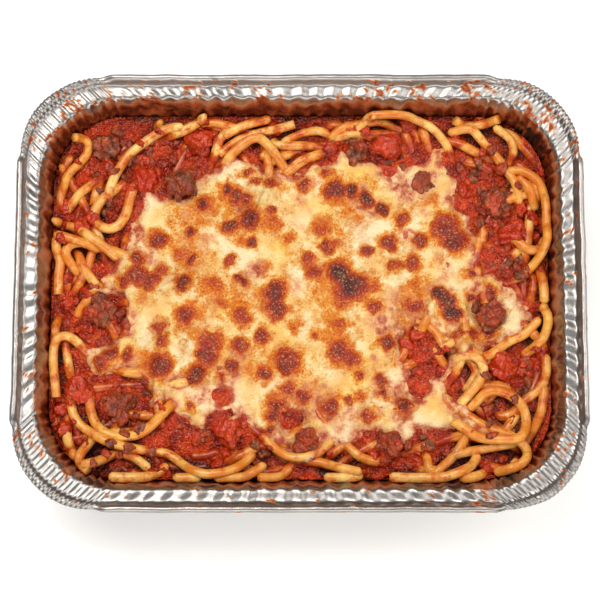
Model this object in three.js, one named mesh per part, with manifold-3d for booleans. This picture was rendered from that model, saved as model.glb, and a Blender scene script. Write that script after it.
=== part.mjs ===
// Baked spaghetti with meat sauce and melted cheese in an oblong rolled-rim foil tray.
// Millimetres, +Z up, the tray's base on z = 0, its long side along X.
import * as THREE from 'three';
import { mergeVertices } from 'three/addons/utils/BufferGeometryUtils.js';
import Module from 'manifold-3d';

const wasm = await Module();
wasm.setup();

// ---- driving dimensions -------------------------------------------------
const FOIL = 0.4;                          // shell thickness, foil and coating
const BASE = { hx: 74, hy: 52.5, r: 18 };  // flat base outline, half lengths and corner radius
const FOOT = { hx: 76.4, hy: 54.9, r: 20, z: 2.4 };
const WALL = { hx: 85.5, hy: 64.5, r: 27, z: 35 };     // where the wall meets the flange
const FLANGE = { hx: 89.7, hy: 68.7, r: 27, z: 35.2 };
const RIM = { hx: 92, hy: 71.2, r: 25.5, z: 36.6 };    // corner outline of the rim
const HEM = 1;                             // how far the rolled hem stands out on the straight runs
const FLUTE = 0.35, PLEAT = 0.5;           // half depth of wall flutes and corner pleats
const LONG_STEPS = 42, SHORT_STEPS = 28, CORNER_STEPS = 16;
const GAP = 0.3;                           // free gap between pieces
const FOOD_EDGE = 25.2;                    // height of the food where it meets the wall
const FOOD_RISE = 1.9;                     // how much higher it heaps in the middle
const CHEESE = 2.4;                        // mean thickness of the melted layer

// ---- helpers --------------------------------------------------------------
// A closed solid lofted through rings of equal length, with a fan at either end.
function loft(rings, first, last) {
  const n = rings[0].length, points = rings.flat(), index = [];
  rings.slice(1).forEach((_, i) => {
    for (let j = 0; j < n; j += 1) {
      const a = i * n + j, b = i * n + (j + 1) % n;
      index.push(a, b, b + n, a, b + n, a + n);
    }
  });
  const end = (rings.length - 1) * n, low = points.length;
  for (let j = 0; j < n; j += 1) {
    const k = (j + 1) % n;
    index.push(low, k, j, end + j, end + k, low + 1);
  }
  points.push(first, last);
  const geometry = new THREE.BufferGeometry();
  geometry.setAttribute('position', new THREE.Float32BufferAttribute(points.flat(), 3));
  geometry.setIndex(index);
  return geometry;
}

// Stations round a rounded rectangle: each gives its side, its place along it and its turn.
function stations(long, short, corner) {
  const list = [];
  [short, long, short, long].forEach((count, side) => {
    for (let i = 0; i < count; i += 1) list.push({ side, along: i / count, step: i });
    for (let i = 0; i < corner; i += 1) list.push({ side, turn: i / corner, step: i });
  });
  return list;
}

// Point of a rounded rectangle at a station, moved outwards by out.
function onOutline(station, { hx, hy, r }, out = 0) {
  const cx = hx - r, cy = hy - r, { side } = station;
  const [sx, sy] = [[1, 1], [-1, 1], [-1, -1], [1, -1]][side];
  if (station.turn !== undefined) {
    const angle = (side + station.turn) * Math.PI / 2;
    return [sx * cx + (r + out) * Math.cos(angle), sy * cy + (r + out) * Math.sin(angle)];
  }
  const t = 2 * station.along - 1;
  return [[hx + out, t * cy], [-t * cx, hy + out], [-hx - out, -t * cy], [t * cx, -hy - out]][side];
}

const mix = (a, b, t) => a + (b - a) * t;
const between = (p, q, t) => ({ hx: mix(p.hx, q.hx, t), hy: mix(p.hy, q.hy, t), r: mix(p.r, q.r, t) });

// Slow unevenness, repeatable, about -1 to 1.
function uneven(x, y, phase = 0) {
  return 0.45 * Math.sin(0.13 * x + 0.07 * y + phase) + 0.35 * Math.sin(0.21 * y - 0.11 * x + 2 * phase)
    + 0.2 * Math.sin(0.33 * x + 1.3 * Math.sin(0.19 * y + phase));
}

function solidOf(geometry) {
  const bare = geometry.clone();
  bare.deleteAttribute('normal');
  bare.deleteAttribute('uv');
  const merged = mergeVertices(bare, 1e-4);
  return new wasm.Manifold(new wasm.Mesh({
    numProp: 3,
    vertProperties: new Float32Array(merged.getAttribute('position').array),
    triVerts: new Uint32Array(merged.getIndex().array),
  }));
}

function geometryOf(solid) {
  const mesh = solid.getMesh();
  const geometry = new THREE.BufferGeometry();
  geometry.setAttribute('position', new THREE.Float32BufferAttribute(mesh.vertProperties, 3));
  geometry.setIndex(Array.from(mesh.triVerts));
  geometry.computeVertexNormals();
  return geometry;
}

// ---- the foil tray ----------------------------------------------------------
const round = stations(LONG_STEPS, SHORT_STEPS, CORNER_STEPS);

// One ring of the shell. hem adds to the straight runs only; flute and pleat zigzag.
function ring(shape, z, { hem = 0, hemZ = 0, flute = 0, pleat = 0, pleatZ = 0 } = {}) {
  return round.map((station) => {
    const sign = station.step % 2 ? 1 : -1;
    if (station.turn !== undefined && station.step > 0) {
      return [...onOutline(station, shape, sign * pleat), z + sign * pleatZ];
    }
    const ends = station.step === 0 ? 0 : 1;
    return [...onOutline(station, shape, ends * (hem + sign * flute)), z + ends * hemZ];
  });
}

const grow = (shape, by) => ({ hx: shape.hx + by, hy: shape.hy + by, r: shape.r + by });
const foil = loft([
  ring(BASE, 0),
  ring(FOOT, FOOT.z, { flute: FLUTE, pleat: PLEAT }),
  ring(grow(WALL, FOIL), WALL.z - 0.3, { flute: FLUTE, pleat: PLEAT }),
  ring(grow(FLANGE, 0.2), FLANGE.z - FOIL, { pleatZ: 0.3 }),
  ring(grow(RIM, -0.7), RIM.z - 1.6, { hem: HEM, pleat: 0.25, pleatZ: 0.3 }),
  ring(RIM, RIM.z - 0.6, { hem: HEM, hemZ: 0.2, pleat: 0.25, pleatZ: 0.3 }),
  ring(grow(RIM, -1.2), RIM.z + 0.3, { hem: HEM, hemZ: 1.1, pleat: 0.25, pleatZ: 0.3 }),
  ring(FLANGE, FLANGE.z, { pleatZ: 0.3 }),
  ring(WALL, WALL.z, { flute: FLUTE, pleat: PLEAT }),
  ring(grow(FOOT, -FOIL), FOOT.z + 0.2, { flute: FLUTE, pleat: PLEAT }),
  ring(grow(BASE, -FOIL), FOIL),
], [0, 0, 0], [0, 0, FOIL]);

// ---- spaghetti and sauce, out to its uneven surface ------------------------
// Height of the tangled surface, highest in the middle and lowest at the wall.
function heapTop(x, y) {
  const reach = Math.cbrt(Math.abs(x / 80) ** 3 + Math.abs(y / 59) ** 3);
  const tangle = 0.55 * Math.sin(0.55 * x + 2.2 * Math.sin(0.16 * y))
    * Math.sin(0.5 * y + 1.8 * Math.sin(0.14 * x));
  return FOOD_EDGE + FOOD_RISE * (1 - Math.min(1, reach ** 3.2)) + 0.8 * uneven(x, y) + tangle;
}

const contact = FOOD_EDGE - 1.5;           // height of the heap's widest ring
const inner = between(grow(FOOT, -FOIL), WALL, (contact - FOOT.z) / (WALL.z - FOOT.z));
const clear = GAP + PLEAT + 0.15;
const about = stations(12, 9, 4);
const flat = (shape, z) => about.map((station) => [...onOutline(station, shape), z]);
const drawnIn = (scale, z) => about.map((station) => {
  const [x, y] = onOutline(station, grow(inner, -clear)).map((value) => value * scale);
  return [x, y, z ?? heapTop(x, y)];
});
const heapSolid = solidOf(loft([
  flat(grow(BASE, -FOIL - clear), FOIL + GAP),
  flat(grow(FOOT, -FOIL - clear), FOOT.z + 0.5),
  drawnIn(1, contact),
  ...[0.985, 0.92, 0.84, 0.75, 0.65, 0.53, 0.4, 0.26, 0.12].map((scale) => drawnIn(scale)),
], [0, 0, FOIL + GAP], [0, 0, heapTop(0, 0)]));

// ---- melted cheese ------------------------------------------------------------
// Reach of the melted sheet from the middle, a lobed oblong; the lobes run into the pasta.
function cheeseReach(angle) {
  const c = Math.cos(angle), s = Math.sin(angle);
  const oblong = 1 / Math.hypot(c / 64, s / 48);
  return oblong * (1 + 0.055 * Math.sin(3 * angle + 0.6) + 0.05 * Math.sin(5 * angle - 1.1)
    + 0.045 * Math.sin(8 * angle + 2.1) + 0.03 * Math.sin(13 * angle));
}

// The melted sheet, or with extra a copy swollen by about that much on every side.
function cheeseSolid(extra) {
  const spokes = 44;
  const level = (scale, lift, up) => Array.from({ length: spokes }, (_, i) => {
    const angle = (i / spokes) * 2 * Math.PI, reach = cheeseReach(angle) * scale;
    const [x, y] = [reach * Math.cos(angle) - 3, reach * Math.sin(angle) - 1];
    const wider = 1 + (2 * extra * scale ** 6) / reach;
    const lifted = lift + up * extra + (up > 0 ? 0.5 * uneven(3 * x, 3 * y, 1) : 0);
    return [(x + 3) * wider - 3, (y + 1) * wider - 1, heapTop(x, y) + lifted];
  });
  const bottom = [0.5, 0.93].map((scale) => level(scale, -0.9, -1));
  const top = [0.92, 0.76, 0.6, 0.42, 0.22].map((scale) => level(scale, CHEESE, 1));
  const middle = heapTop(-3, -1), low = middle - 0.9 - extra, high = middle + CHEESE + extra;
  return solidOf(loft([...bottom, level(1, 0.6, 0), ...top], [-3, -1, low], [-3, -1, high]));
}

// ---- browned mince and cooked tomato -------------------------------------------
// Each is [x, y, radius, squash, phase]; it sits half sunk in the surface under it.
const MINCE = [
  [-62, 48, 4.3, 0.75, 0.3], [-39.6, 38, 4.4, 0.8, 1.2], [19, 48.5, 4, 0.8, 2.1], [41, 38, 4.2, 0.75, 3.3],
  [65, 31, 4.4, 0.8, 4.2], [63, -7, 4.6, 0.75, 5.1], [-66, -5, 4.8, 0.75, 0.9], [-59, -37, 5, 0.7, 1.7],
  [2, -48.5, 4.4, 0.8, 2.8], [29, -50, 4.2, 0.75, 3.9],
];
const TOMATO = [
  [-34, 52, 4.2, 0.7, 0.5], [-52, 39, 4, 0.7, 1.5], [29, 50.5, 4.3, 0.65, 2.5], [71, 21, 4.2, 0.7, 3.5],
  [-72.5, 23, 3.8, 0.7, 4.5], [-72, -31, 4.8, 0.6, 5.5], [-23, -46, 4.4, 0.7, 0.7], [67, -24, 4.5, 0.65, 1.1],
];

function lump([x, y, radius, squash, phase], rough, extra = 0) {
  const geometry = new THREE.IcosahedronGeometry(1, 1);
  const position = geometry.getAttribute('position'), v = new THREE.Vector3();
  for (let i = 0; i < position.count; i += 1) {
    v.fromBufferAttribute(position, i);
    const bump = 1 + rough * (Math.sin(3.1 * v.x + phase) * Math.cos(2.7 * v.y - phase)
      + 0.6 * Math.sin(4.3 * v.z + 2 * phase));
    v.multiplyScalar(radius * bump + extra);
    position.setXYZ(i, v.x * Math.cos(phase) - v.y * 0.85 * Math.sin(phase),
      v.x * Math.sin(phase) + v.y * 0.85 * Math.cos(phase), v.z * squash + Math.sign(v.z) * extra * 0.3);
  }
  geometry.translate(x, y, heapTop(x, y) + 1);
  return solidOf(geometry);
}

const bits = [
  ...MINCE.map((spec, i) => ({ name: `mince_lump_${i + 1}`, spec, rough: 0.16, kind: 'mince' })),
  ...TOMATO.map((spec, i) => ({ name: `tomato_chunk_${i + 1}`, spec, rough: 0.08, kind: 'tomato' })),
];
// Places where the sheet has sunk away and the sauce shows: [x, y, radius].
const HOLES = [[-26.5, -33.5, 3.2], [-3, -41, 3.4], [38, -27, 4.4]];
const holes = HOLES.map(([x, y, radius]) => {
  const drum = new THREE.CylinderGeometry(radius * 1.1, radius * 0.8, 12, 9);
  return solidOf(drum.rotateX(Math.PI / 2).translate(x, y, heapTop(x, y) + 1));
});
const pockets = wasm.Manifold.union(bits.map(({ spec, rough }) => lump(spec, rough, GAP * 1.6)));
const cheese = cheeseSolid(0).subtract(pockets).subtract(wasm.Manifold.union(holes));
const heap = heapSolid.subtract(cheeseSolid(GAP * 1.5)).subtract(pockets);

// ---- scene graph ------------------------------------------------------------------
const looks = {
  foil: { color: '#c9cacc', roughness: 0.32, metalness: 1 },
  pasta: { color: '#d8791f', roughness: 0.42, metalness: 0 },
  cheese: { color: '#e9b75a', roughness: 0.38, metalness: 0 },
  mince: { color: '#6b2c14', roughness: 0.5, metalness: 0 },
  tomato: { color: '#b8200c', roughness: 0.28, metalness: 0 },
};
const meal = new THREE.Group();

function add(name, geometry, look) {
  const piece = new THREE.Mesh(geometry, new THREE.MeshStandardMaterial(looks[look]));
  piece.name = name;
  meal.add(piece);
}

// The largest closed body of a solid; slivers left by a cut are dropped.
function largest(solid) {
  return solid.decompose().sort((a, b) => b.volume() - a.volume())[0];
}

foil.computeVertexNormals();
add('foil_tray', foil, 'foil');
add('spaghetti_heap', geometryOf(largest(heap)), 'pasta');
add('melted_cheese', geometryOf(largest(cheese)), 'cheese');
bits.forEach(({ name, spec, rough, kind }) => add(name, geometryOf(lump(spec, rough)), kind));

export default meal;
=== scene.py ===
"""Baked spaghetti under melted cheese in a foil tray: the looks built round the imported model."""
import math
import random

import bpy
import numpy as np
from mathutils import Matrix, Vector, noise


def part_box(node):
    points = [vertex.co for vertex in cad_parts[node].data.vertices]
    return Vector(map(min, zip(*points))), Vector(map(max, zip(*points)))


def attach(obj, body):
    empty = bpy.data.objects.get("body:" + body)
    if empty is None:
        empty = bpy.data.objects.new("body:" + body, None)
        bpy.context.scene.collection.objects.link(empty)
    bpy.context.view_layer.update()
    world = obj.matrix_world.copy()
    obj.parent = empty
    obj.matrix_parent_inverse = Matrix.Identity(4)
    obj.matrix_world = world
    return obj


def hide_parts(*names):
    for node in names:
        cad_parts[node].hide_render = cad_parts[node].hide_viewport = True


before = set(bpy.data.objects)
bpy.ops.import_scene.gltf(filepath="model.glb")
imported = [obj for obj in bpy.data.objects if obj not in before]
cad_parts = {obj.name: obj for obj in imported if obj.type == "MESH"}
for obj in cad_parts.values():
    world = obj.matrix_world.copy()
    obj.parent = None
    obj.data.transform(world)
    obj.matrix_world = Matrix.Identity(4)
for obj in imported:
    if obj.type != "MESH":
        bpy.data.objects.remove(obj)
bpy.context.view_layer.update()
MM = 0.001

# ---- Tray, millimetres; an outline is its half length, half width and corner radius ----
WALL_FOOT = (76.3, 54.8, 20)
WALL_TOP = (85.3, 64.2, 26.8)
FOOT_Z = 3.0
TOP_Z = 34.0
FLANGE_Z = 34.3            # from here up a place is on the flange or the rim
FOIL_THICKNESS = 0.12

# ---- Food, millimetres ---------------------------------------------------------------------
EDGE_LEVEL = 25.6          # surface of the pasta where it meets the wall
RISE = 1.6                 # how much higher it heaps in the middle
UNEVEN = 0.8               # how far its surface wanders up and down
BED_DROP = 5.0             # how far the lowest strands lie under the top of the pasta
SAUCE_DROP = 3.0           # how far the sauce between the strands lies under it
STRAND = 1.58              # radius of cooked spaghetti
STRAND_SIDES = 10
STRAND_STEP = 0.95         # between two rings of a strand
PRESS = 0.55               # how far an evened-out strand may press into what it lies on
CLOT_PITCH = 0.42          # grid of the sauce clots
CLOT_THICKNESS = 0.6
CHEESE_PITCH = 0.48        # grid of the cheese
CHEESE_THICKNESS = 0.7

# ---- Room that the food leaves to the wall, millimetres --------------------------------------
STRAND_ROOM = 0.62
STRAND_INSET = 2.2         # of a strand's centre line, from the outline above the food
SAUCE_ROOM = 0.85
SAUCE_INSET = 0.95
CLOT_ROOM = 1.5
CLOT_INSET = 1.9

# ---- Height map --------------------------------------------------------------------------------
CELL = 0.4                 # its spacing
REACH_X = 88.0
REACH_Y = 67.0


# ---- General helpers ---------------------------------------------------------------------
def deselect():
    if bpy.context.object and bpy.context.object.mode != "OBJECT":
        bpy.ops.object.mode_set(mode="OBJECT")
    bpy.ops.object.select_all(action="DESELECT")


def new_piece(name, points, faces, *materials):
    """A smooth mesh object from points in millimetres, placed in its mesh."""
    mesh = bpy.data.meshes.new(name)
    mesh.from_pydata((np.asarray(points) * MM).tolist(), [], faces)
    mesh.update()
    mesh.shade_smooth()
    piece = bpy.data.objects.new(name, mesh)
    bpy.context.scene.collection.objects.link(piece)
    for material in materials:
        mesh.materials.append(material)
    return piece


def set_mask(piece, name, values):
    """Gives each point of a piece a value that its material reads."""
    layer = piece.data.attributes.new(name, "FLOAT", "POINT")
    layer.data.foreach_set("value", np.asarray(values, dtype=np.float32))


def stands_for(piece, slot, *nodes):
    """Rides the piece on the tray's body, in the place of the given nodes."""
    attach(piece, "root")
    if nodes:
        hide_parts(*nodes)


def thicken(piece, by, back_slot=0):
    """Gives a sheet its thickness behind the face that shows; its back takes that material slot."""
    solid = piece.modifiers.new("thickness", "SOLIDIFY")
    solid.thickness = by * MM
    solid.offset = -1
    solid.material_offset = back_slot
    solid.material_offset_rim = back_slot
    deselect()
    bpy.context.view_layer.objects.active = piece
    piece.select_set(True)
    bpy.ops.object.modifier_apply(modifier=solid.name)


def ramp01(value, low, high):
    """Runs smoothly from 0 at low to 1 at high."""
    t = np.clip((value - low) / (high - low), 0, 1)
    return t * t * (3 - 2 * t)


def rgb(red, green, blue):
    """Linear colour from everyday 0-255 values."""
    def linear(c):
        c /= 255
        return c / 12.92 if c <= 0.04045 else ((c + 0.055) / 1.055) ** 2.4
    return (linear(red), linear(green), linear(blue), 1)


# ---- Height fields -----------------------------------------------------------------------
GX = np.arange(-REACH_X, REACH_X + CELL / 2, CELL)
GY = np.arange(-REACH_Y, REACH_Y + CELL / 2, CELL)
XX, YY = np.meshgrid(GX, GY)


def value_noise(x, y, size, seed):
    """Smooth noise about -1 to 1 with features of the given size in millimetres."""
    table = np.random.RandomState(seed).rand(128, 128) * 2 - 1
    u, v = x / size + 500, y / size + 500
    iu, iv = np.floor(u).astype(int), np.floor(v).astype(int)
    fu, fv = u - iu, v - iv
    fu, fv = fu * fu * (3 - 2 * fu), fv * fv * (3 - 2 * fv)
    a, b = table[iv % 128, iu % 128], table[iv % 128, (iu + 1) % 128]
    c, d = table[(iv + 1) % 128, iu % 128], table[(iv + 1) % 128, (iu + 1) % 128]
    return (a * (1 - fu) + b * fu) * (1 - fv) + (c * (1 - fu) + d * fu) * fv


def layered(x, y, size, seed, octaves=3):
    """Noise with finer and finer features, each half the size of the last."""
    total, weight = 0, 0
    for i in range(octaves):
        total = total + value_noise(x, y, size / 2 ** i, seed + i) * 0.55 ** i
        weight += 0.55 ** i
    return total / weight


def blur(field, radius):
    """Gaussian blur of a height field, the radius in millimetres."""
    half = int(round(2.5 * radius / CELL))
    kernel = np.exp(-0.5 * (np.arange(-half, half + 1) * CELL / radius) ** 2)
    kernel /= kernel.sum()
    for axis in (0, 1):
        padded = np.pad(field, [(half, half) if i == axis else (0, 0) for i in (0, 1)], mode="edge")
        field = np.apply_along_axis(lambda row: np.convolve(row, kernel, mode="valid"), axis, padded)
    return field


def sample(field, x, y):
    """Height of the map at any place, between its grid points."""
    u = np.clip((np.asarray(x) + REACH_X) / CELL, 0, len(GX) - 1.001)
    v = np.clip((np.asarray(y) + REACH_Y) / CELL, 0, len(GY) - 1.001)
    iu, iv = u.astype(int), v.astype(int)
    fu, fv = u - iu, v - iv
    return ((field[iv, iu] * (1 - fu) + field[iv, iu + 1] * fu) * (1 - fv)
            + (field[iv + 1, iu] * (1 - fu) + field[iv + 1, iu + 1] * fu) * fv)


def outline_at(z):
    """Inside of the tray wall at a height."""
    t = (z - FOOT_Z) / (TOP_Z - FOOT_Z)
    return tuple(a + (b - a) * t for a, b in zip(WALL_FOOT, WALL_TOP))


def inside(x, y, shape):
    """Distance inwards from a rounded rectangle, negative outside."""
    hx, hy, r = shape
    qx, qy = np.abs(x) - hx + r, np.abs(y) - hy + r
    return r - np.hypot(np.maximum(qx, 0), np.maximum(qy, 0)) - np.minimum(np.maximum(qx, qy), 0)


def pasta_level(x, y):
    """The gently heaped surface that the strands in sight make up."""
    reach = np.cbrt(np.abs(x / 80) ** 3 + np.abs(y / 59) ** 3)
    slow = (0.45 * np.sin(0.13 * x + 0.07 * y) + 0.35 * np.sin(0.21 * y - 0.11 * x)
            + 0.2 * np.sin(0.33 * x + 1.3 * np.sin(0.19 * y)))
    return EDGE_LEVEL + RISE * (1 - np.minimum(1, reach ** 3.2)) + UNEVEN * slow


# Clots of sauce that lie over the strands: [x, y, radius].
CLOTS = [
    (-66, 44, 5.5), (-52, 44, 6), (-46, 47, 6), (-36, 58, 5), (-33, 47, 4), (-78, 28, 3.5),
    (-77, -1, 4.5), (-62, -6, 5.5), (-61, -35, 6), (-78, -38, 5.5), (-71, -13, 3.5), (-40, -46, 7),
    (-22, -45, 5.5), (-12, -51, 4), (3, -50, 4.5), (23, -49, 6), (29, -53, 5), (36, -55, 5), (43, -52, 4),
    (62, -6, 5), (65, 31, 6.5), (59, 37, 4), (72, 21, 5), (67, 11, 5.5), (72, -24, 5.5), (63, -38, 3.5),
    (30, 50, 4.5), (19, 48, 5), (56, 42, 4), (-60, 31, 3.5), (-63, 18, 4), (-68, 28, 2.6), (42, -20, 5),
    (38, -31, 4), (-47, -36, 4), (52, 58, 3.5), (-50, 24, 5), (66, 44, 3), (11, 48, 3), (-57, 52, 4),
    (-66, 55, 4), (-30, 61, 3), (-10, 61, 2.6), (28, 52, 4), (60, 54, 2.6), (77, 27, 3), (76, -8, 2.6),
    (-75, 8, 2.6), (-68, 8, 3), (-79, -24, 2.6), (-70, -44, 3), (-62, -56, 4), (-46, -58, 3),
    (-27, -55, 2.6), (10, -58, 4), (26, -60, 3), (48, -58, 2.6), (66, -55, 3), (56, -46, 3),
    (66, -29, 2.6), (57, -17, 3.5), (50, -33, 3),
]
# Clots that lie on top of the strands in sight.
TOP_CLOTS = [
    (-33, 59, 4.5), (-46, -58, 3.4), (25, -58, 5), (57, -45, 2.8), (36, 57, 2.6), (-10, -43, 3.6),
    (10, 49, 3), (50, -33, 2.8), (41, -18, 7), (37, -28, 4), (45, -26, 3), (-26, -55, 3.2), (76, -4, 3.4),
    (66, -11, 4), (-77, -2, 4.4), (-70, 29, 2.8), (-66, 8, 2.6), (-80, 24, 2.8), (-62, -34, 4.4),
    (60, -57, 3), (71, 20, 4), (62, 32, 5), (-79, -37, 4.6), (0, -59, 3), (-8, 57, 2.4), (-17, 48, 2.4),
    (80, 24, 2.4), (70, -42, 2.4), (-70, -49, 2.6), (17, 57, 2.2), (-24, 61, 3), (8, 62, 3), (70, 58, 3),
    (-60, 57, 3.4),
]


def bed_level():
    """Where the lowest strands come to lie."""
    return pasta_level(XX, YY) - BED_DROP + 0.6 * layered(XX, YY, 9, 11)


def sauce_level():
    """The sauce that fills the gaps between the strands, drawn up a little at the wall."""
    level = pasta_level(XX, YY) - SAUCE_DROP
    level += 1.5 * layered(XX, YY, 6, 21) + 0.35 * layered(XX, YY, 1.7, 31, 2)
    edge = inside(XX, YY, outline_at(EDGE_LEVEL))
    return level + (2.2 + 1.5 * layered(XX, YY, 7, 41)) * (1 - ramp01(edge, 0, 5))


def clot_cover(x, y, clots):
    """How far inside a clot of sauce a place is, in millimetres."""
    cover = np.full(np.shape(x), -99.0)
    wx, wy = x + 1.5 * layered(x, y, 4.5, 51), y + 1.5 * layered(x, y, 4.5, 61)
    for cx, cy, radius in clots:
        cover = np.maximum(cover, radius * 0.86 - np.hypot(wx - cx, wy - cy))
    ragged = 0.7 * layered(x, y, 1.9, 71, 2)
    return np.minimum(cover + ragged, inside(x, y, outline_at(EDGE_LEVEL - 4)) - CLOT_INSET)


# ---- Strands -----------------------------------------------------------------------------
def smooth_route(points, step):
    """Even points along a curve through the given places."""
    p = np.asarray(points, dtype=float)
    if len(p) == 2:
        p = np.vstack([p[0], p.mean(axis=0), p[1]])
    p = np.vstack([2 * p[0] - p[1], p, 2 * p[-1] - p[-2]])
    t = np.linspace(0, 1, 12, endpoint=False)[:, None]
    parts = []
    for a, b, c, d in zip(p, p[1:], p[2:], p[3:]):
        parts.append(0.5 * (2 * b + (c - a) * t + (2 * a - 5 * b + 4 * c - d) * t ** 2
                            + (3 * b - a - 3 * c + d) * t ** 3))
    dense = np.vstack(parts + [p[-2][None]])
    along = np.r_[0, np.cumsum(np.linalg.norm(np.diff(dense, axis=0), axis=1))]
    count = max(4, int(along[-1] / step))
    even = np.linspace(0, along[-1], count)
    return np.column_stack([np.interp(even, along, dense[:, i]) for i in range(p.shape[1])])


# Steps of the height map that a strand may touch round its centre line.
DISC = [(i, j) for i in range(-4, 5) for j in range(-4, 5) if math.hypot(i, j) * CELL <= 1.6]


def wall_height(x, y, clearance):
    """The lowest height at which a place keeps clear of the sloping wall."""
    low, high = np.full(np.shape(x), FOOT_Z), np.full(np.shape(x), TOP_Z)
    for _ in range(9):
        middle = (low + high) / 2
        fits = inside(x, y, outline_at(middle)) >= clearance
        low, high = np.where(fits, low, middle), np.where(fits, middle, high)
    return high


def lay(heights, route, radius, sink, dive):
    """Lays a strand on what lies there already; returns its centre line and adds it to the heights."""
    x, y = route[:, 0], route[:, 1]
    iu = np.clip(np.rint((x + REACH_X) / CELL).astype(int), 5, len(GX) - 6)
    iv = np.clip(np.rint((y + REACH_Y) / CELL).astype(int), 5, len(GY) - 6)
    support = np.full(len(x), -99.0)
    for i, j in DISC:
        away = math.hypot(i, j) * CELL
        support = np.maximum(support, heights[iv + j, iu + i] + math.sqrt(max(0, radius ** 2 - away ** 2)))
    z = support.copy()
    for _ in range(26):
        padded = np.r_[z[0], z, z[-1]]
        z = np.maximum(0.25 * padded[:-2] + 0.5 * z + 0.25 * padded[2:], support - PRESS)
    along = np.arange(len(z))
    fall = dive[0] * (1 - ramp01(along, 0, 9)) + dive[1] * (1 - ramp01(along[::-1], 0, 9))
    z = np.maximum(z - sink - fall, wall_height(x, y, radius + STRAND_ROOM))
    for i, j in DISC:
        away = math.hypot(i, j) * CELL
        if away < radius:
            top = z + math.sqrt(radius ** 2 - away ** 2)
            np.maximum.at(heights, (iv + j, iu + i), top)
    return np.column_stack([x, y, z])


def tube(line, radius, tapered):
    """Points and faces of one strand along its centre line."""
    n = len(line)
    ahead = np.gradient(line, axis=0)
    ahead /= np.linalg.norm(ahead, axis=1)[:, None]
    side = np.cross(ahead, (0, 0, 1.0))
    side /= np.maximum(np.linalg.norm(side, axis=1), 1e-6)[:, None]
    up = np.cross(side, ahead)
    turn = np.linspace(0, 2 * math.pi, STRAND_SIDES, endpoint=False)
    size = radius.copy()
    if tapered:
        size[[0, -1]] *= 0.5
    ring = (side[:, None] * np.cos(turn)[None, :, None] + up[:, None] * np.sin(turn)[None, :, None])
    points = (line[:, None] + ring * size[:, None, None]).reshape(-1, 3)
    faces = []
    for i in range(n - 1):
        here, after = i * STRAND_SIDES, (i + 1) * STRAND_SIDES
        for j in range(STRAND_SIDES):
            k = (j + 1) % STRAND_SIDES
            faces.append((here + j, here + k, after + k, after + j))
    faces.append(tuple(range(STRAND_SIDES))[::-1])
    faces.append(tuple((n - 1) * STRAND_SIDES + j for j in range(STRAND_SIDES)))
    return points, faces


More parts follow.
